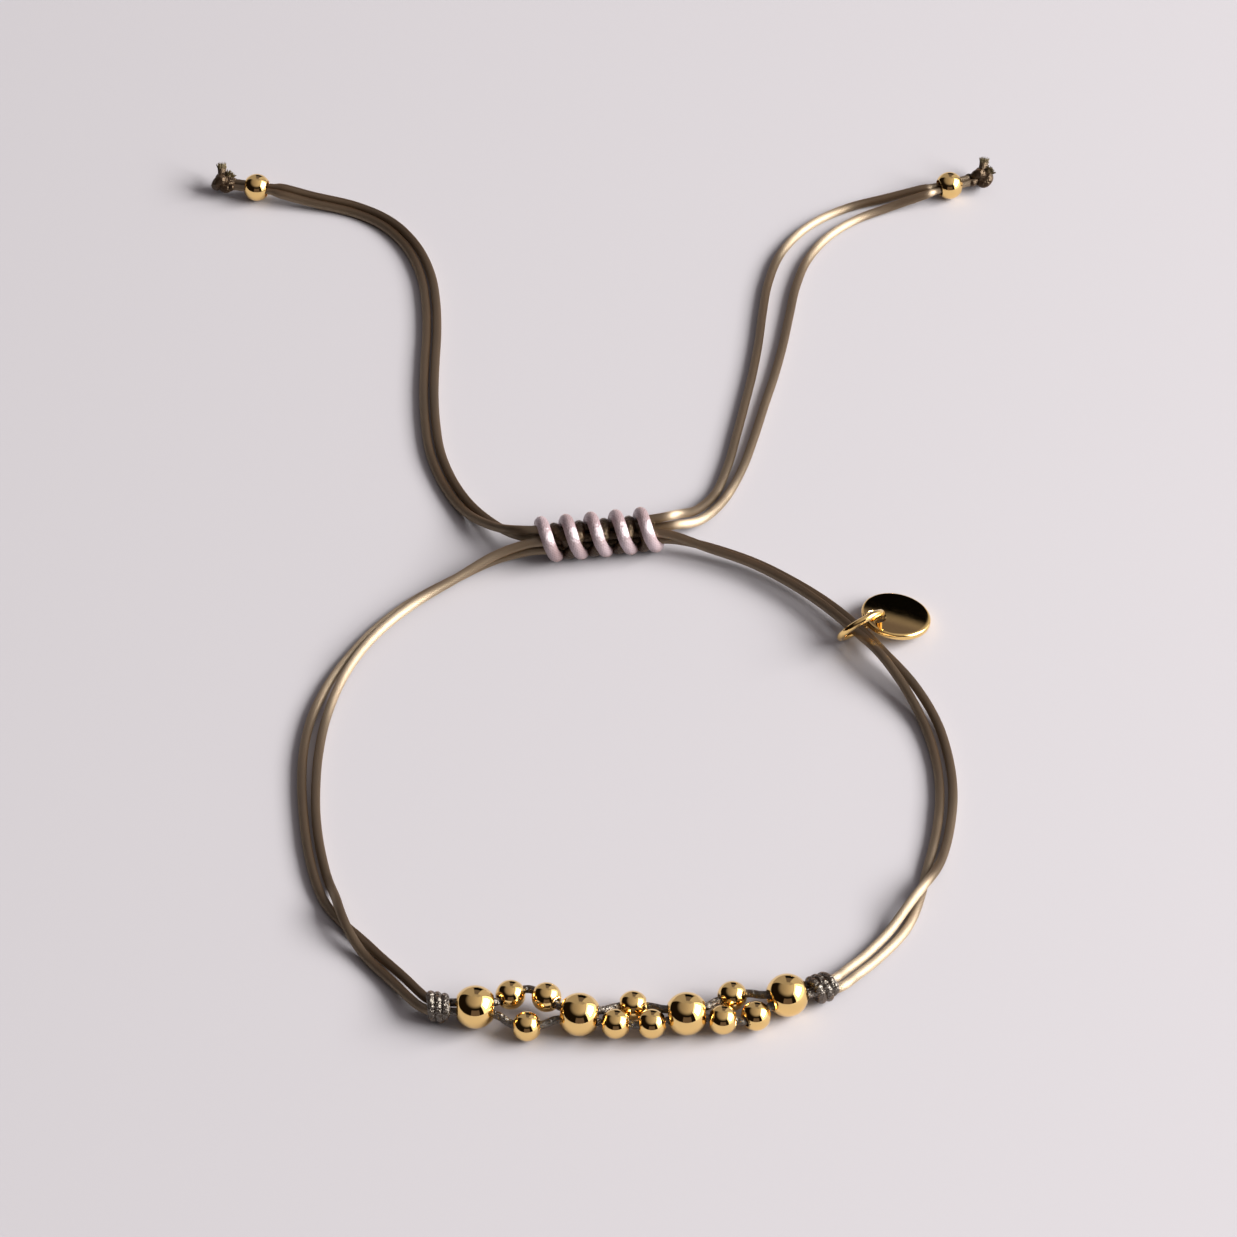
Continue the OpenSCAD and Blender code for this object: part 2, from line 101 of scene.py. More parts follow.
# loose filaments of a cut end: their number, the golden angle that spreads them, width of the brush,
# how deep it starts, shortest filament, step of the five lengths, how far they open out at the middle
# and at the tip, length of the tip's half as a share of the other, and thicknesses
FILAMENTS, GOLDEN_ANGLE = 70, 2.4
FRAY_WIDTH, FRAY_DEPTH, FRAY_SHORT, FRAY_STEP = 0.4 * STUB_D, 0.4, 0.35, 0.08
FRAY_MIDDLE, FRAY_TIP, FRAY_TIP_SHARE = 0.15, 0.4, 0.7
FRAY_D = [0.15, 0.13, 0.07]

# Disc: diameter, thickness, dome, hole, and the distance of the hole from the middle; radius of the
# rim, bevel of the hole, half the drill's length; rings of a face, degrees between the rim's points
DISC_D, DISC_T, DISC_DOME, DISC_HOLE, DISC_REACH = 7.7, 0.9, 0.1, 2.1, 2.55
DISC_RIM, HOLE_BEVEL, DRILL_HALF = 0.3, 0.12, 1
DISC_RINGS, RIM_STEP = 12, 15
# Ring: diameter of the wire's middle line, and wire; faces round the ring, as round the disc, and
# round the wire. Seam of its butted ends: half its width, the wire's share in it, and its place in
# degrees.
RING_D, RING_WIRE = 5.2, 0.75
ROUND_SEGMENTS, WIRE_SEGMENTS = 120, 28
SEAM_HALF, SEAM_SHARE, SEAM_TURN = 0.03, 0.9, 200

# Routes of the strand pairs, in millimetres, with the same columns as in the part's source:
# x and y of the pair's middle line, height of the lower strand's axis, distance between the two
# axes, turn of the pair in degrees (0 side by side, 90 strand a on top), thickness of a strand.
LOOP_LEFT = [
    (-8.6, 32.9, 1.6, 1.3, 90, CORD_D),
    (-11.2, 32.5, 1.6, 1.3, 85, CORD_D),
    (-14.8, 31.1, 1.4, 1.25, 70, CORD_D),
    (-19.0, 28.5, 0.9, 1.25, 50, CORD_D),
    (-23.1, 25.6, 0.6, 1.25, 40, CORD_D),
    (-26.6, 22.0, 0.5, 1.25, 38, CORD_D),
    (-29.4, 17.9, 0.5, 1.3, 35, CORD_D),
    (-31.6, 13.5, 0.5, 1.4, 20, CORD_D),
    (-33.1, 8.7, 0.5, 1.6, 6, CORD_D),
    (-33.8, 3.8, 0.5, 1.65, 0, CORD_D),
    (-33.9, -1.2, 0.5, 1.5, 0, CORD_D),
    (-33.6, -6.1, 0.5, 1.3, 0, CORD_D),
    (-32.9, -11.1, 0.5, 1.3, 0, CORD_D),
    (-31.7, -16.0, 0.5, 1.3, 8, CORD_D),
    (-29.8, -20.6, 0.5, 1.3, 90, CORD_D),
    (-27.0, -24.7, 0.5, 1.3, 165, CORD_D),
    (-23.9, -28.5, 0.8, 1.3, 180, CORD_D),
    (-22.1, -31.0, 1.2, 1.3, 180, CORD_D),
    (-21.0, -32.4, 1.5, 1.3, 180, CORD_D),
    (-19.9, -33.1, 1.6, 1.3, 180, CORD_D),
]
LOOP_RIGHT = [
    (2.5, 34.4, 1.6, 1.3, 90, CORD_D),
    (5.2, 34.2, 1.6, 1.3, 114, CORD_D),
    (9.0, 33.1, 1.35, 1.25, 138, CORD_D),
    (13.7, 31.1, 1.1, 1.25, 141, CORD_D),
    (17.8, 28.3, 1.05, 1.25, 143, CORD_D),
    (21.6, 24.8, 1.2, 1.25, 148, CORD_D),
    (24.8, 20.8, 1.55, 1.25, 150, CORD_D),
    (27.7, 16.7, 1.65, 1.25, 140, CORD_D),
    (30.5, 12.5, 1.2, 1.3, 165, CORD_D),
    (32.6, 7.8, 0.7, 1.4, 180, CORD_D),
    (33.7, 2.8, 0.5, 1.4, 180, CORD_D),
    (34.0, -2.3, 0.5, 1.4, 180, CORD_D),
    (33.5, -7.4, 0.5, 1.35, 180, CORD_D),
    (32.4, -12.4, 0.5, 1.3, 200, CORD_D),
    (30.7, -17.2, 0.5, 1.3, 270, CORD_D),
    (28.3, -21.8, 0.5, 1.3, 340, CORD_D),
    (25.3, -25.8, 0.8, 1.3, 360, CORD_D),
    (23.2, -28.2, 1.2, 1.3, 360, CORD_D),
    (22.0, -29.6, 1.5, 1.3, 360, CORD_D),
    (20.7, -30.4, 1.6, 1.3, 360, CORD_D),
]
TAIL_LEFT = [
    (-8.7, 34.1, 2.3, 1.3, 90, CORD_D),
    (-11.4, 34.2, 2.2, 1.3, 80, CORD_D),
    (-14.2, 36.1, 1.4, 1.25, 45, CORD_D),
    (-17.4, 39.8, 0.7, 1.25, 10, CORD_D),
    (-19.8, 44.2, 0.5, 1.2, 0, CORD_D),
    (-21.4, 49.0, 0.5, 1.2, 0, CORD_D),
    (-22.1, 53.8, 0.5, 1.2, 0, CORD_D),
    (-22.4, 58.8, 0.5, 1.2, 0, CORD_D),
    (-22.4, 63.8, 0.5, 1.2, 0, CORD_D),
    (-22.3, 68.8, 0.5, 1.2, 0, CORD_D),
    (-22.5, 73.8, 0.5, 1.2, 0, CORD_D),
    (-23.2, 78.7, 0.5, 1.2, 0, CORD_D),
    (-24.9, 83.4, 0.5, 1.2, 0, CORD_D),
    (-27.8, 87.4, 0.5, 1.2, 0, CORD_D),
    (-31.8, 90.0, 0.5, 1.2, 0, CORD_D),
    (-36.8, 91.3, 0.9, 1.2, 0, CORD_D),
    (-40.2, 92.0, 1.5, 1.15, 0, CORD_D),
    (-41.5, 92.25, 1.6, 0.88, 0, SQUEEZED_D),
    (-43.3, 92.6, 1.6, 0.88, 0, SQUEEZED_D),
    (-46.4, 93.2, 1.6, 0.88, 0, SQUEEZED_D),
]
TAIL_RIGHT = [
    (2.4, 35.6, 2.3, 1.3, 90, CORD_D),
    (5.2, 36.4, 2.1, 1.3, 75, CORD_D),
    (8.0, 38.4, 1.2, 1.25, 30, CORD_D),
    (10.5, 42.4, 0.6, 1.35, 0, CORD_D),
    (12.2, 47.1, 0.5, 1.7, 0, CORD_D),
    (13.4, 52.0, 0.5, 2.0, 0, CORD_D),
    (14.5, 57.0, 0.5, 2.2, 0, CORD_D),
    (15.6, 62.0, 0.5, 2.5, 0, CORD_D),
    (16.5, 67.0, 0.5, 2.8, 0, CORD_D),
    (17.2, 72.0, 0.5, 3.1, 0, CORD_D),
    (18.0, 77.0, 0.5, 3.25, 0, CORD_D),
    (19.5, 81.8, 0.5, 3.25, 0, CORD_D),
    (22.3, 86.0, 0.5, 2.9, 0, CORD_D),
    (26.2, 89.1, 0.5, 2.3, 0, CORD_D),
    (30.8, 90.9, 0.8, 1.6, 0, CORD_D),
    (34.6, 91.8, 1.5, 1.15, 0, CORD_D),
    (36.1, 92.3, 1.6, 0.88, 0, SQUEEZED_D),
    (37.9, 92.95, 1.6, 0.88, 0, SQUEEZED_D),
    (40.7, 94.0, 1.6, 0.88, 0, SQUEEZED_D),
]
# points of a strand's axis from one row to the next
POINTS_PER_ROW = 10

# Beads and knots: x, y and z of the middle in millimetres, and the heading of the bore in degrees.
BIG = [
    (-15.6, -33.7, 2.25, 0),
    (-4.9, -34.7, 2.25, -8),
    (6.1, -34.6, 2.25, 5),
    (16.45, -32.1, 2.25, 22),
]
SMALL = [
    (-12.0, -32.0, 2.2, 35),
    (-8.3, -32.5, 2.4, -42),
    (-10.3, -35.7, 1.55, 0),
    (-1.2, -35.7, 1.95, 0),
    (0.6, -32.9, 1.55, 0),
    (2.5, -35.7, 1.95, 8),
    (9.8, -35.1, 1.9, -3),
    (10.8, -31.9, 1.9, 20),
    (13.2, -34.5, 1.8, 36),
]
TAIL_BEADS = {"left": (-43.3, 92.6, 1.6, 169), "right": (37.9, 92.95, 1.6, 20)}
LEFT_KNOT = (-19.4, -33.3, 1.75, -15)
RIGHT_KNOT = (20.0, -30.7, 1.75, 22)
END_KNOTS = {"left": (-47.3, 93.4, 1.55, 68), "right": (41.7, 94.4, 1.55, 50)}
SLIDER = (-3.1, 34.3, 2.6, 7.5)

# where the two strands lie in a big bead's bore and in a wrapped knot: across it, and above its axis
LANE_A, LANE_B = (0.53, 0.1), (-0.5, -0.2)
KNOT_LANE_A, KNOT_LANE_B = (0.55, 0.3), (-0.55, 0.2)
# length of a wrapped knot, how far the bead cords reach into it, and how far they run straight
# past a bead
KNOT_L, KNOT_BITE, BORE_PAST = 3.0, 0.9, 0.12

# Charm, with the same directions as in the part's source
DISC_AT = Vector((29.42, 22.99, 1.32))
DISC_DOWN, DISC_TILT, DISC_HEADING = 45, 12, 23.5
RING_HEADING, RING_LEAN, RING_SEAT = 35, 28.8, 24


def clear_selection():
    if bpy.context.object and bpy.context.object.mode != "OBJECT":
        bpy.ops.object.mode_set(mode="OBJECT")
    bpy.ops.object.select_all(action="DESELECT")


def only(obj):
    clear_selection()
    obj.select_set(True)
    bpy.context.view_layer.objects.active = obj


def heading(degrees):
    return Vector((cos(radians(degrees)), sin(radians(degrees)), 0))


def across(degrees):
    return Vector((-sin(radians(degrees)), cos(radians(degrees)), 0))


def place(row):
    """From a bead's or a knot's own millimetres, with its bore along X, to its place in metres."""
    return (
        Matrix.Translation(Vector(row[:3]) * MM)
        @ Matrix.Rotation(radians(row[3]), 4, "Z")
        @ Matrix.Scale(MM, 4)
    )


# materials

def linear(code):
    """Linear colour of an sRGB hex value."""
    channels = [int(code[i:i + 2], 16) / 255 for i in (1, 3, 5)]
    return [c / 12.92 if c <= 0.04045 else ((c + 0.055) / 1.055) ** 2.4 for c in channels] + [1.0]


def add(tree, kind, settings=None, links=None, stops=()):
    """Adds a node, sets its properties, inputs and colour stops, and links its inputs."""
    node = tree.nodes.new(kind)
    for key, value in (settings or {}).items():
        if isinstance(key, int) or key in node.inputs:
            node.inputs[key].default_value = value
        else:
            setattr(node, key, value)
    for key, (source, output) in (links or {}).items():
        tree.links.new(source.outputs[output], node.inputs[key])
    elements = node.color_ramp.elements if stops else []
    while len(elements) < len(stops):
        elements.new(0.5)
    for element, (at, colour) in zip(elements, stops):
        element.position = at
        element.color = linear(colour)
    return node


def new_material(name):
    material = bpy.data.materials.new(name)
    material.use_nodes = True
    material.node_tree.nodes.clear()
    return material, material.node_tree


# Sizes of the patterns, in millimetres: bundles of filaments, slow change of the cord's tone,
# creases, rubbing marks on gold, and the relief of each. The real filaments are 0.05 mm; their
# bundles are drawn 0.25 mm wide, so that they show, and the rubbing marks are drawn coarser too.
THREAD, THREAD_RELIEF = 0.25, 0.03
TONE_CHANGE = 6.25
CREASE, CREASE_RELIEF = 0.4, 0.4
RUB, RUB_RELIEF = 0.7, 0.02
# how far the bundles lean to both sides of the cord's direction, in degrees
THREAD_LEAN = 32
# how much the braid tells in the cord's tone, and how much rougher the gold is where it is rubbed
BRAID_SHARE, RUBBED_SHARE = 0.3, 1.8


def braided_satin(name, dark, light, crinkle=0.0, glint="#ffe6c4", roughness=0.38, ior=2.15):
    """Braided satin cord: filaments that run nearly along it carry a broad silky glint across the
    cord where it lies square to the light, and leave it dark where it points at the light. Silk's
    IOR of 1.54 is raised until the glint is as bright as the real cord's."""
    material, tree = new_material(name)
    uv = add(tree, "ShaderNodeUVMap", {"uv_map": "cord"})
    bands = []
    for lean in (THREAD_LEAN, -THREAD_LEAN):
        turned = add(tree, "ShaderNodeMapping", {"Rotation": (0, 0, radians(lean))}, {"Vector": (uv, "UV")})
        # this texture draws a stripe every pi / 10 at a scale of 1
        wave = {"Scale": pi / 10 / THREAD, "Distortion": 0.8, "Detail": 1.0}
        bands.append(add(tree, "ShaderNodeTexWave", wave, {"Vector": (turned, "Vector")}))
    both = {0: (bands[0], "Fac"), 1: (bands[1], "Fac")}
    braid = add(tree, "ShaderNodeMath", {"operation": "MAXIMUM"}, both)
    # slow change of tone along the cord
    spot = add(tree, "ShaderNodeTexCoord")
    slow = {"Scale": 1 / (TONE_CHANGE * MM), "Detail": 3.0}
    tone = add(tree, "ShaderNodeTexNoise", slow, {"Vector": (spot, "Object")})
    tones = {0: (braid, "Value"), 2: (tone, "Fac")}
    mixed = add(tree, "ShaderNodeMath", {"operation": "MULTIPLY_ADD", 1: BRAID_SHARE}, tones)
    stops = ((0.35, dark), (1.0, light))
    colour = add(tree, "ShaderNodeValToRGB", links={"Fac": (mixed, "Value")}, stops=stops)
    # the pull of a knot crinkles the sheath, which breaks its glint up into spots
    fine = {"Scale": 1 / (CREASE * MM), "Detail": 2.0}
    creases = add(tree, "ShaderNodeTexNoise", fine, {"Vector": (spot, "Object")})
    depth = {"Strength": crinkle, "Distance": CREASE_RELIEF * MM}
    crumpled = add(tree, "ShaderNodeBump", depth, {"Height": (creases, "Fac")})
    bump = add(
        tree,
        "ShaderNodeBump",
        {"Strength": 0.4, "Distance": THREAD_RELIEF * MM},
        {"Height": (braid, "Value"), "Normal": (crumpled, "Normal")},
    )
    around = add(tree, "ShaderNodeTangent", {"direction_type": "UV_MAP", "uv_map": "cord"})
    surface = add(
        tree,
        "ShaderNodeBsdfPrincipled",
        {
            "Roughness": roughness,
            "Anisotropic": 1.0,
            "IOR": ior,
            "Specular IOR Level": 1.0,
            "Specular Tint": linear(glint),
            "Sheen Weight": 0.2,
            "Sheen Roughness": 0.3,
            "Sheen Tint": linear("#d08a34"),
        },
        {"Base Color": (colour, "Color"), "Normal": (bump, "Normal"), "Tangent": (around, "Tangent")},
    )
    add(tree, "ShaderNodeOutputMaterial", links={"Surface": (surface, "BSDF")})
    return material


def polished_gold(name, tint, roughness):
    """Gold plate, tumbled to a mirror: clear reflections under a faint haze of rubbing marks."""
    material, tree = new_material(name)
    spot = add(tree, "ShaderNodeTexCoord")
    rubbed = {"Scale": 1 / (RUB * MM), "Detail": 4.0}
    marks = add(tree, "ShaderNodeTexNoise", rubbed, {"Vector": (spot, "Object")})
    haze = add(
        tree,
        "ShaderNodeMapRange",
        {"From Min": 0.35, "From Max": 0.75, "To Min": roughness, "To Max": roughness * RUBBED_SHARE},
        {"Value": (marks, "Fac")},
    )
    relief = {"Strength": 0.05, "Distance": RUB_RELIEF * MM}
    bump = add(tree, "ShaderNodeBump", relief, {"Height": (marks, "Fac")})
    surface = add(
        tree,
        "ShaderNodeBsdfPrincipled",
        {"Base Color": linear(tint), "Metallic": 1.0},
        {"Roughness": (haze, "Result"), "Normal": (bump, "Normal")},
    )
    add(tree, "ShaderNodeOutputMaterial", links={"Surface": (surface, "BSDF")})
    return material


# cords

def between(p, q, r, s, t):
    """The same smooth curve through a table's rows as in the part's source."""
    return [
        (2 * b + (c - a) * t + (2 * a - 5 * b + 4 * c - d) * t**2 + (3 * b - a - 3 * c + d) * t**3) / 2
        for a, b, c, d in zip(p, q, r, s)
    ]


def smooth(rows):
    """A table's rows with the points of the smooth curve between them."""
    last = len(rows) - 1
    out = []
    for i in range(last):
        p, q, r, s = rows[max(i - 1, 0)], rows[i], rows[i + 1], rows[min(i + 2, last)]
        out += [between(p, q, r, s, j / POINTS_PER_ROW) for j in range(POINTS_PER_ROW)]
    return out + [list(rows[last])]


def strand(table, side):
    """Axis of one strand of a pair, and its thickness at each point; side is 1 for a, -1 for b."""
    rows = smooth(table)
    points, thick = [], []
    for i, (x, y, low, apart, turn, d) in enumerate(rows):
        before, after = rows[max(i - 1, 0)], rows[min(i + 1, len(rows) - 1)]
        wx, wy = after[0] - before[0], after[1] - before[1]
        n = hypot(wx, wy)
        reach = side * apart / 2
        flat, rise = reach * cos(radians(turn)), reach * sin(radians(turn))
        middle = low + apart / 2 * abs(sin(radians(turn)))
        points.append(Vector((x - wy / n * flat, y + wx / n * flat, middle + rise)))
        thick.append(d)
    return points, thick


def sweep(bm, uv, points, thick, sides):
    """Adds one cord along its points, with rounded ends. Its UV is in millimetres: round, along."""
    head = (points[0] - points[1]).normalized() * thick[0] / 2
    tail = (points[-1] - points[-2]).normalized() * thick[-1] / 2
    heads = [points[0] + head * a for a, b in reversed(ROUND_END)]
    tails = [points[-1] + tail * a for a, b in ROUND_END]
    points = heads + points + tails
    thick = [thick[0] * b for a, b in reversed(ROUND_END)] + thick + [thick[-1] * b for a, b in ROUND_END]
    n = len(points)
    ways = [(points[min(i + 1, n - 1)] - points[max(i - 1, 0)]).normalized() for i in range(n)]
    side = ways[0].cross(Vector((0, 0, 1)))
    rings, along = [], [0.0]
    for i in range(n):
        if i:
            along.append(along[-1] + (points[i] - points[i - 1]).length)
        side = (side - ways[i] * side.dot(ways[i])).normalized()
        up = side.cross(ways[i])
        spokes = [cos(2 * pi * k / sides) * side + sin(2 * pi * k / sides) * up for k in range(sides)]
        rings.append([bm.verts.new(points[i] + thick[i] / 2 * spoke) for spoke in spokes])
    girth = pi * max(thick)
    for i in range(n - 1):
        for k in range(sides):
            m = (k + 1) % sides
            face = bm.faces.new((rings[i][k], rings[i][m], rings[i + 1][m], rings[i + 1][k]))
            for loop, (j, row) in zip(face.loops, ((k, i), (k + 1, i), (k + 1, i + 1), (k, i + 1))):
                loop[uv].uv = (girth * j / sides, along[row])
    for ring, spot in ((rings[0], 0), (rings[-1], n - 1)):
        middle = bm.verts.new(points[spot])
        for k in range(sides):
            face = bm.faces.new((ring[(k + 1) % sides], ring[k], middle))
            for loop in face.loops:
                loop[uv].uv = (girth * k / sides, along[spot])


def cord_piece(
    name, runs, material, matrix=Matrix.Scale(MM, 4), sides=CORD_SIDES, core=(), core_material=None
):
    """One piece of one or more cords; each run is its points and thicknesses in millimetres. The
    runs of the core, which may be none, have a material of their own."""
    mesh = bpy.data.meshes.new(name)
    bm = bmesh.new()
    uv = bm.loops.layers.uv.new("cord")
    for points, thick in runs:
        sweep(bm, uv, points, thick, sides)
    outer_faces = len(bm.faces)
    for points, thick in core:
        sweep(bm, uv, points, thick, sides)
    bm.faces.ensure_lookup_table()
    for face in bm.faces[outer_faces:]:
        face.material_index = 1
    bmesh.ops.recalc_face_normals(bm, faces=bm.faces)
    bm.transform(matrix)
    for face in bm.faces:
        face.smooth = True
    bm.to_mesh(mesh)
    bm.free()
    obj = bpy.data.objects.new(name, mesh)
    bpy.context.scene.collection.objects.link(obj)
    obj.data.materials.append(material)
    if core:
        obj.data.materials.append(core_material)
    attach(obj, "root")
    return obj


def free_strand(node, table, side):
    points, thick = strand(table, side)
    piece = cord_piece(node + "_satin", [(points, thick)], satin)
    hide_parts(node)


def in_bore(row, along, lane):
    """A point in a bead's or a knot's bore, so far along from its middle and in that lane."""
    return Vector(row[:3]) + along * heading(row[3]) + lane[0] * across(row[3]) + Vector((0, 0, lane[1]))


def bead_route(beads, lane, knot_lane):
    """The drawn-tight strand from the left knot through its beads to the right knot."""
    points = [in_bore(LEFT_KNOT, KNOT_L / 2 - KNOT_BITE, knot_lane)]
    for row in beads:
        half = (BIG_L if row in BIG else SMALL_L) / 2 + BORE_PAST
        off = lane if row in BIG else (0, 0)
        points += [in_bore(row, -half, off), in_bore(row, half, off)]
    points.append(in_bore(RIGHT_KNOT, KNOT_BITE - KNOT_L / 2, knot_lane))
    # cutting each corner at a quarter of its legs, three times over, bends the cord softly there
    for _ in range(3):
        cut = [points[0]]
        for a, b in zip(points, points[1:]):
            cut += [a.lerp(b, 0.25), a.lerp(b, 0.75)]
        points = cut + [points[-1]]
    return points, [BEAD_CORD_D] * len(points)


def bead_cords():
    # the beads that each strand runs through, from left to right
    beads_a = [BIG[0], SMALL[0], SMALL[1], BIG[1], SMALL[4], BIG[2], SMALL[7], BIG[3]]
    beads_b = [BIG[0], SMALL[2], BIG[1], SMALL[3], SMALL[5], BIG[2], SMALL[6], SMALL[8], BIG[3]]
    for node, run in (
        ("bead_cord_a", bead_route(beads_a, LANE_A, KNOT_LANE_A)),
        ("bead_cord_b", bead_route(beads_b, LANE_B, KNOT_LANE_B)),
    ):
        piece = cord_piece(node + "_satin", [run], knotted_satin)
        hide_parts(node)


# knots

def ease(t):
    """A soft start and end on the way from 0 to 1."""
    t = min(max(t, 0), 1)
    return t * t * (3 - 2 * t)


def wound(d, thick, turns, pitch, lean, start, hand=1, waist=0.0, dip=0.0):
    """A strand wound round X, with both ends tucked under. Its angle is 0 at +Y and 90 degrees on
    top; waist draws it in at +Y and -Y, where the other winding crosses over it, and dip on top."""
    n = int(turns * WOUND_STEPS)
    points = []
    for i in range(n + 1):
        turned = i / WOUND_STEPS
        a = 2 * pi * turned + radians(start)
        # 1 along the winding, 0 at its two ends
        lifted = ease(turned / TUCK_TURN) * ease((n / WOUND_STEPS - turned) / TUCK_TURN)
        r = (d - thick) / 2 * (TUCK_RADIUS + (1 - TUCK_RADIUS) * lifted)
        r *= 1 - waist * cos(a) ** 2
        r *= 1 - dip * ease(sin(a) + DIP_START)
        x = (turned - turns / 2) * pitch * hand - lean * cos(a) * hand
        x -= (1 - lifted) * TUCK_BACK * thick * (1 if x > 0 else -1)
        points.append(Vector((x, r * cos(a), r * sin(a))))
    return points, [thick] * len(points)


def wrapped_knot(node, row):
    """The working strand is wound three times round the pair, and its ends are drawn under."""
    piece = cord_piece(node + "_wound", [wound(**WRAPPED)], knotted_satin, place(row))
    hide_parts(node)


def sliding_knot():
    """Five raised turns over a lower winding of the other hand, which shows between them. The raised turns
    are a much lighter copy of the cord, painted light; the lower winding and the strands inside are a
    darker copy, painted shade.
    """
    # the turns lean as the photo shows them, from its 46 degrees
    turned = Matrix.Rotation(radians(CAMERA_ELEVATION - 90), 4, "X")
    windings = (wound(**RAISED), wound(**LOWER))
    raised, lower = [([turned @ p for p in points], thick) for points, thick in windings]
    # between the raised turns: the lower winding and the four strands inside, in a darker copy of the cord
    # that paints shade
    core = [lower]
    for y, z in INNER_PLACES:
        points = [Vector((x, y, z)) for x in range(-INNER_HALF, INNER_HALF + 1, 2)]
        core.append((points, [INNER_D] * len(points)))
    name = "sliding_knot_wound"
    # raised turns in a lighter copy of the cord, painted light; the core in a darker copy, painted shade
    piece = cord_piece(name, [raised], painted_light_satin, place(SLIDER), SLIDER_SIDES, core, painted_shade_satin)
    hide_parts("sliding_knot")


def frayed_end(tip, way):
    """The loose filaments of a cut end: a short brush that opens out."""
    side_way = way.cross(Vector((0, 0, 1))).normalized()
    up_way = side_way.cross(way)
    runs = []
    for j in range(FILAMENTS):
        a = j * GOLDEN_ANGLE
        out = (cos(a) * side_way + sin(a) * up_way) * (j / FILAMENTS) ** 0.5
        root = tip + out * FRAY_WIDTH - way * FRAY_DEPTH
        reach = FRAY_SHORT + FRAY_STEP * (j * 7 % 5)
        middle = root + (way + out * FRAY_MIDDLE) * reach
        end = middle + (way + out * FRAY_TIP) * reach * FRAY_TIP_SHARE
        runs.append(([root, middle, end], FRAY_D))
    return runs


def end_knot(side):
    """Overhand knot drawn tight, with two cut ends whose filaments have come loose."""
    place_of_knot = place(END_KNOTS[side])
    scale = (END_KNOT_D - END_STRAND) / 2 / TREFOIL_REACH
    lean = Matrix.Rotation(radians(END_KNOT_LEAN), 4, "Y")
    loop = []
    for i in range(TREFOIL_STEPS + 1):
        t = 2 * pi * i / TREFOIL_STEPS
        height = -TREFOIL_HEIGHT * sin(3 * t)
        loop.append(lean @ (Vector((sin(t) + 2 * sin(2 * t), cos(t) - 2 * cos(2 * t), height)) * scale))
    runs = [(loop, [END_STRAND] * len(loop))]
    core = []
    for turn, past in STUBS:
        way = Matrix.Rotation(radians(turn), 4, "Z") @ Vector((1, 0, STUB_RISE)).normalized()
        length = END_KNOT_D / 2 + past - STUB_START
        stub = [way * (STUB_START + length * j / STUB_STEPS) for j in range(STUB_STEPS + 1)]
        runs.append((stub, [STUB_D] * len(stub)))
        core += frayed_end(stub[-1], way)
    # the two strands of the tail run on into the knot, from just before their ends
    tail = TAIL_LEFT if side == "left" else TAIL_RIGHT
    for of_pair in (1, -1):
        end = place_of_knot.inverted() @ (strand(tail, of_pair)[0][-1] * MM)
        runs.append(([end * share for share in RUN_IN], [SQUEEZED_D + RUN_IN_MORE] * len(RUN_IN)))
    name = "end_knot_" + side + "_tied"
    # the knot is drawn in a darker copy of the cord with a dimmed glint, which paints shade
    piece = cord_piece(name, runs, painted_shade_satin, place_of_knot, END_KNOT_SIDES, core, frayed_fibre)
    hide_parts("end_knot_" + side)
    return piece


# gold pieces

def settle(obj, name, node, material, matrix):
    """Names a finished piece, puts its place in its mesh, and lets it stand for its CAD node."""
    obj.name = obj.data.name = name
    obj.data.transform(matrix)
    obj.data.materials.clear()
    obj.data.materials.append(material)
    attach(obj, "root")
    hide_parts(node)
    return obj


def near(a, b, slack=0.001):
    return abs(a - b) < slack


def select_edges(obj, wanted):
    """In edit mode, selects the edges that a test of their two ends picks out."""
    bm = bmesh.from_edit_mesh(obj.data)
    bpy.context.tool_settings.mesh_select_mode = (False, True, False)
    bpy.ops.mesh.select_all(action="DESELECT")
    for edge in bm.edges:
        if wanted(edge.verts[0].co, edge.verts[1].co):
            edge.select_set(True)
    bmesh.update_edit_mesh(obj.data)


def model_bead(d, l, bore):
    """Round bead along Z, in millimetres: a ball cut flat at both ends, drilled and rounded off."""
    clear_selection()
    bpy.ops.mesh.primitive_uv_sphere_add(segments=BEAD_SEGMENTS, ring_count=BEAD_RINGS, radius=d / 2)
    obj = bpy.context.object
    bpy.ops.object.mode_set(mode="EDIT")
    for z in (1, -1):
        bpy.ops.mesh.select_all(action="SELECT")
        bpy.ops.mesh.bisect(plane_co=(0, 0, z * l / 2), plane_no=(0, 0, z), clear_outer=True)
    cut = (d * d - l * l) ** 0.5 / 2
    select_edges(obj, lambda a, b: near(abs(a.z), l / 2) and near(abs(b.z), l / 2))
    bpy.ops.mesh.extrude_edges_move()
    bpy.ops.transform.resize(value=(bore / 2 / cut, bore / 2 / cut, 1))
    bpy.ops.mesh.bridge_edge_loops()
    rims = (cut, bore / 2)
    select_edges(
        obj,
        lambda a, b: near(a.z, b.z)
        and near(abs(a.z), l / 2)
        and any(near(hypot(a.x, a.y), r, 0.01) and near(hypot(b.x, b.y), r, 0.01) for r in rims),
    )
    bpy.ops.mesh.bevel(offset=BEAD_LIP, segments=3, clamp_overlap=True)
    bpy.ops.mesh.select_all(action="SELECT")
    bpy.ops.mesh.normals_make_consistent(inside=False)
    bpy.ops.object.mode_set(mode="OBJECT")
    bpy.ops.object.shade_smooth_by_angle(angle=radians(50))
    # the bore along X
    obj.data.transform(Matrix.Rotation(radians(90), 4, "Y"))
    return obj


def numbered(node, rows):
    return ["%s_%d" % (node, i + 1) for i in range(len(rows))]


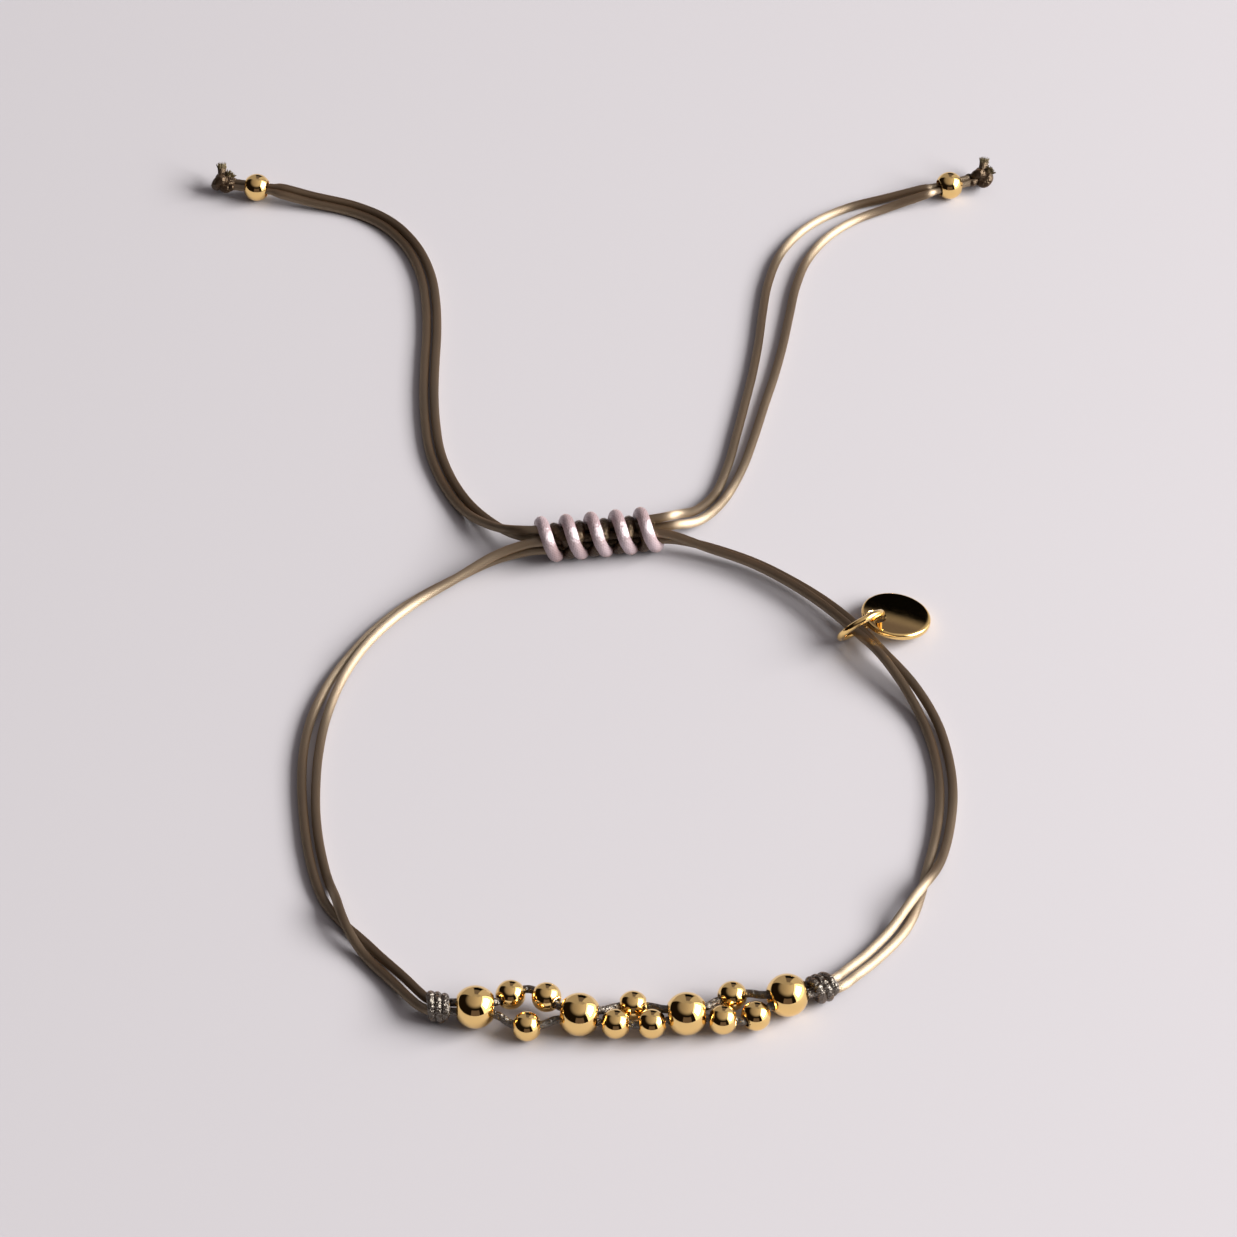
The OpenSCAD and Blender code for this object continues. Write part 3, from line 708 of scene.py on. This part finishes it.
def copies(model, rows, nodes):
    """A copy of a modelled bead, with its own mesh, at each place; the model itself is removed."""
    made = []
    for row, node in zip(rows, nodes):
        obj = model.copy()
        obj.data = model.data.copy()
        bpy.context.scene.collection.objects.link(obj)
        made.append(settle(obj, node + "_polished", node, gold, place(row)))
    bpy.data.objects.remove(model)
    return made


def at_seam(a, b):
    return near(a.y, 0) and near(b.y, 0) and a.x > 0 and b.x > 0


def jump_ring():
    """Round wire bent to a ring, its two ends butted at a fine seam."""
    clear_selection()
    bpy.ops.mesh.primitive_torus_add(
        major_radius=RING_D / 2,
        minor_radius=RING_WIRE / 2,
        major_segments=ROUND_SEGMENTS,
        minor_segments=WIRE_SEGMENTS,
    )
    obj = bpy.context.object
    bpy.ops.object.mode_set(mode="EDIT")
    # the seam is one ring of edges, drawn in between two close ones
    select_edges(obj, at_seam)
    bpy.ops.mesh.bevel(offset=SEAM_HALF, segments=2)
    select_edges(obj, at_seam)
    bpy.ops.transform.resize(value=(SEAM_SHARE, 1, SEAM_SHARE), center_override=(RING_D / 2, 0, 0))
    bpy.ops.object.mode_set(mode="OBJECT")
    bpy.ops.object.shade_smooth_by_angle(angle=radians(40))
    out = heading(RING_HEADING)
    up = sin(radians(RING_LEAN)) * heading(RING_HEADING - 90) + Vector((0, 0, cos(radians(RING_LEAN))))
    seat = cos(radians(RING_SEAT)) * out - sin(radians(RING_SEAT)) * up
    middle = hole_middle() - RING_D / 2 * seat
    turned = Matrix((out, up, out.cross(up))).transposed().to_4x4()
    # the seam sits opposite the disc, a little below the top
    turned = turned @ Matrix.Rotation(radians(SEAM_TURN), 4, "Z")
    settle(obj, "jump_ring_polished", "jump_ring", gold,
           Matrix.Translation(middle * MM) @ turned @ Matrix.Scale(MM, 4))


def disc_face():
    return sin(radians(DISC_TILT)) * heading(DISC_DOWN) + Vector((0, 0, cos(radians(DISC_TILT))))


def to_hole():
    out, face = heading(DISC_HEADING), disc_face()
    return (-out + out.dot(face) * face).normalized()


def hole_middle():
    return DISC_AT + DISC_REACH * to_hole()


def turned_piece(name, outline):
    """Turns an outline, given as radius and height of its points, round Z into a closed piece."""
    mesh = bpy.data.meshes.new(name)
    mesh.from_pydata([(r, 0, z) for r, z in outline], [(i, i + 1) for i in range(len(outline) - 1)], [])
    obj = bpy.data.objects.new(name, mesh)
    bpy.context.scene.collection.objects.link(obj)
    only(obj)
    bpy.ops.object.mode_set(mode="EDIT")
    bpy.ops.mesh.select_all(action="SELECT")
    bpy.ops.mesh.spin(steps=ROUND_SEGMENTS, angle=2 * pi, center=(0, 0, 0), axis=(0, 0, 1))
    bpy.ops.mesh.select_all(action="SELECT")
    bpy.ops.mesh.remove_doubles(threshold=0.0005)
    bpy.ops.mesh.normals_make_consistent(inside=False)
    bpy.ops.object.mode_set(mode="OBJECT")
    return obj


def disc_outline():
    """Half of the disc's section, from its middle on top round the rounded rim to its middle below."""
    flat = DISC_D / 2 - DISC_RIM
    radii = [flat * i / DISC_RINGS for i in range(DISC_RINGS + 1)]
    top = [(r, DISC_T / 2 - DISC_DOME * (r / flat) ** 2) for r in radii]
    bottom = [(r, z - DISC_T + DISC_DOME) for r, z in reversed(top)]
    turns = [radians(degrees) for degrees in range(RIM_STEP, 90, RIM_STEP)]
    high, low = top[-1][1], bottom[0][1]
    upper = [(flat + DISC_RIM * sin(a), high - DISC_RIM * (1 - cos(a))) for a in turns]
    lower = [(flat + DISC_RIM * cos(a), low + DISC_RIM * (1 - sin(a))) for a in turns]
    edge = [(DISC_D / 2, high - DISC_RIM), (DISC_D / 2, low + DISC_RIM)]
    return top + upper + edge + lower + bottom


def charm_disc():
    """Plain round disc, stamped slightly domed, with a rounded rim and a drilled, eased hole."""
    obj = turned_piece("charm_disc_polished", disc_outline())
    # the drill widens at 45 degrees towards both ends, which eases the hole's edges
    bore, straight = DISC_HOLE / 2, DISC_T / 2 - HOLE_BEVEL
    drill = [(0, -DRILL_HALF), (bore + DRILL_HALF - straight, -DRILL_HALF), (bore, -straight)]
    drill += [(r, -z) for r, z in reversed(drill)]
    cutter = turned_piece("cutter", drill)
    cutter.location.x = DISC_REACH
    only(obj)
    hole = obj.modifiers.new("hole", "BOOLEAN")
    hole.operation = "DIFFERENCE"
    hole.object = cutter
    bpy.ops.object.modifier_apply(modifier="hole")
    bpy.data.objects.remove(cutter)
    bpy.ops.object.shade_smooth_by_angle(angle=radians(30))
    face, way = disc_face(), to_hole()
    turned = Matrix((way, face.cross(way), face)).transposed().to_4x4()
    settle(obj, "charm_disc_polished", "charm_disc", gold,
           Matrix.Translation(DISC_AT * MM) @ turned @ Matrix.Scale(MM, 4))


# studio

# Side of the floor in metres. The lights stand on the right, from the surface up, as the beads
# mirror them: a wide soft one with a bright middle. Place and size in metres, energy in watts.
FLOOR_SIDE = 8
LIGHTS = [
    ("wide_light", (1.26, -0.14, 0.9), (2.3, 1.8), 20),
    ("bright_middle", (1.24, -0.1, 0.85), (1.2, 0.9), 72),
]
# Overhead tone, from left to right, and the height where it takes over, give or take its soft edge.
OVERHEAD = ((0.0, "#5a5254"), (0.5, "#b4acac"), (1.0, "#f4eeec"))
OVERHEAD_FROM, OVERHEAD_EDGE = 0.74, 0.14
# Panels that the gold mirrors: azimuth of the middle and half the width in degrees, counted from +X
# towards +Y, height of the lower and of the upper edge as a share of straight up, and tone.
PANELS = [
    (-88, 22, -0.2, 0.5, "#665c60"),
    (88, 46, -0.2, 0.95, "#a5a0a4"),
    (60, 18, -0.2, 0.8, "#c4bfc2"),
    (82, 13, 0.08, 0.475, "#060606"),
    (82, 13, 0.475, 0.85, "#6c6670"),
]
PANEL_EDGE = 0.035


def camera():
    """The photo's view, with its long lens."""
    obj = bpy.data.objects.new("camera", bpy.data.cameras.new("camera"))
    bpy.context.scene.collection.objects.link(obj)
    obj.data.sensor_width = SENSOR
    obj.data.lens = FOCAL_PIXELS / PHOTO_SIDE * SENSOR
    obj.data.clip_start = CLIP_START
    obj.data.clip_end = CLIP_END
    obj.location = Vector(CAMERA_AT) * MM
    obj.rotation_euler = (radians(90 - CAMERA_ELEVATION), 0, 0)
    bpy.context.scene.camera = obj


def floor():
    """Matt pale floor that the bracelet lies on."""
    clear_selection()
    bpy.ops.mesh.primitive_plane_add(size=FLOOR_SIDE)
    obj = bpy.context.object
    obj.name = "floor"
    material, tree = new_material("pale_floor")
    look = {"Base Color": linear("#adaaad"), "Roughness": 0.9, "Specular IOR Level": 0.2}
    surface = add(tree, "ShaderNodeBsdfPrincipled", look)
    add(tree, "ShaderNodeOutputMaterial", links={"Surface": (surface, "BSDF")})
    obj.data.materials.append(material)


def soft_light(name, middle, size, energy):
    """A lit rectangle that faces the bracelet from the right."""
    light = bpy.data.lights.new(name, "AREA")
    light.shape = "RECTANGLE"
    light.size, light.size_y = size
    light.energy = energy
    light.color = linear("#fffdfc")[:3]
    obj = bpy.data.objects.new(name, light)
    bpy.context.scene.collection.objects.link(obj)
    obj.location = middle
    obj.rotation_euler = Vector((-1, 0, 0)).to_track_quat("-Z", "Y").to_euler()


def change(at, edge, before, after):
    """Settings of a soft change from one value to another, about a place."""
    places = {"From Min": at - edge, "From Max": at + edge, "To Min": before, "To Max": after}
    return {"interpolation_type": "SMOOTHSTEP", **places}


def surround():
    """Dim surround, dark on the left and in front, grey behind, and lighter overhead on the right."""
    world = bpy.data.worlds.new("studio")
    bpy.context.scene.world = world
    world.use_nodes = True
    tree = world.node_tree
    tree.nodes.clear()
    spot = add(tree, "ShaderNodeTexCoord")
    way = add(tree, "ShaderNodeSeparateXYZ", links={"Vector": (spot, "Generated")})
    turn = add(tree, "ShaderNodeMath", {"operation": "ARCTAN2"}, {0: (way, "Y"), 1: (way, "X")})
    sideways = add(tree, "ShaderNodeMapRange", {"From Min": -1.0, "From Max": 1.0}, {"Value": (way, "X")})
    overhead = add(tree, "ShaderNodeValToRGB", links={"Fac": (sideways, "Result")}, stops=OVERHEAD)
    rise = change(OVERHEAD_FROM, OVERHEAD_EDGE, 0.0, 1.0)
    share = add(tree, "ShaderNodeMapRange", rise, {"Value": (way, "Z")})
    look = {"data_type": "RGBA", 6: linear("#17120e")}
    shade = add(tree, "ShaderNodeMix", look, {"Factor": (share, "Result"), 7: (overhead, "Color")})
    for azimuth, half, low, top, tone in PANELS:
        apart = add(tree, "ShaderNodeMath", {"operation": "SUBTRACT", 1: radians(azimuth)}, {0: (turn, 0)})
        apart = add(tree, "ShaderNodeMath", {"operation": "ABSOLUTE"}, {0: (apart, 0)})
        # the panel's share is 1 inside its soft edges: those at both sides, below and above
        sides = change(radians(half), PANEL_EDGE, 1.0, 0.0)
        share = add(tree, "ShaderNodeMapRange", sides, {"Value": (apart, 0)})
        for edge in (change(low, PANEL_EDGE, 0.0, 1.0), change(top, PANEL_EDGE, 1.0, 0.0)):
            part = add(tree, "ShaderNodeMapRange", edge, {"Value": (way, "Z")})
            share = add(tree, "ShaderNodeMath", {"operation": "MULTIPLY"}, {0: (share, 0), 1: (part, 0)})
        look = {"data_type": "RGBA", 7: linear(tone)}
        shade = add(tree, "ShaderNodeMix", look, {"Factor": (share, 0), 6: (shade, 2)})
    light = add(tree, "ShaderNodeBackground", {"Strength": 1.0}, {"Color": (shade, 2)})
    add(tree, "ShaderNodeOutputWorld", links={"Surface": (light, "Background")})


def exposure():
    """Plain contrast, so that the dark cord stays dark and the light burns out in the gold."""
    bpy.context.scene.view_settings.view_transform = "Standard"


# the cord of loop and tails; drawn tight, in the bead cords and wrapped knots; a darker copy with a dimmer
# glint, painted shade, in the end knots and under the sliding knot's turns; a much lighter copy, painted
# light, for those turns; and the fibres of a cut end
satin = braided_satin("braided_satin_cord", "#0e0803", "#2a1a0a")
knotted_satin = braided_satin(
    "knotted_satin_cord", "#0c0804", "#281c10", crinkle=1.0, glint="#f2e8da", roughness=0.24, ior=1.8
)
# a darker copy of the cord with a dimmed glint: painted shade
painted_shade_satin = braided_satin(
    "painted_shade_satin_cord", "#0a0604", "#20150d", crinkle=0.6, glint="#a89074", roughness=0.3, ior=1.75
)
# a much lighter copy of the same cord: painted light, for the sliding knot's raised turns
painted_light_satin = braided_satin("painted_light_satin_cord", "#6a4e48", "#b4a2a6", crinkle=0.3, glint="#e6e0e6")
frayed_fibre = braided_satin("frayed_cord_fibre", "#221c10", "#443a24", glint="#847860")
gold = polished_gold("polished_gold_plate", "#fad48c", 0.04)

camera()
tail_beads = copies(
    model_bead(TAIL_D, TAIL_L, TAIL_BORE),
    TAIL_BEADS.values(),
    ["tail_bead_" + side for side in TAIL_BEADS],
)
end_knots = [end_knot("left"), end_knot("right")]
for letter, side in (("a", 1), ("b", -1)):
    free_strand("loop_left_" + letter, LOOP_LEFT, side)
    free_strand("loop_right_" + letter, LOOP_RIGHT, side)
    free_strand("tail_left_" + letter, TAIL_LEFT, side)
    free_strand("tail_right_" + letter, TAIL_RIGHT, side)
bead_cords()
copies(model_bead(BIG_D, BIG_L, BIG_BORE), BIG, numbered("big_bead", BIG))
copies(model_bead(SMALL_D, SMALL_L, SMALL_BORE), SMALL, numbered("small_bead", SMALL))
wrapped_knot("left_knot", LEFT_KNOT)
wrapped_knot("right_knot", RIGHT_KNOT)
sliding_knot()
jump_ring()
charm_disc()
floor()
for light in LIGHTS:
    soft_light(*light)
surround()
exposure()
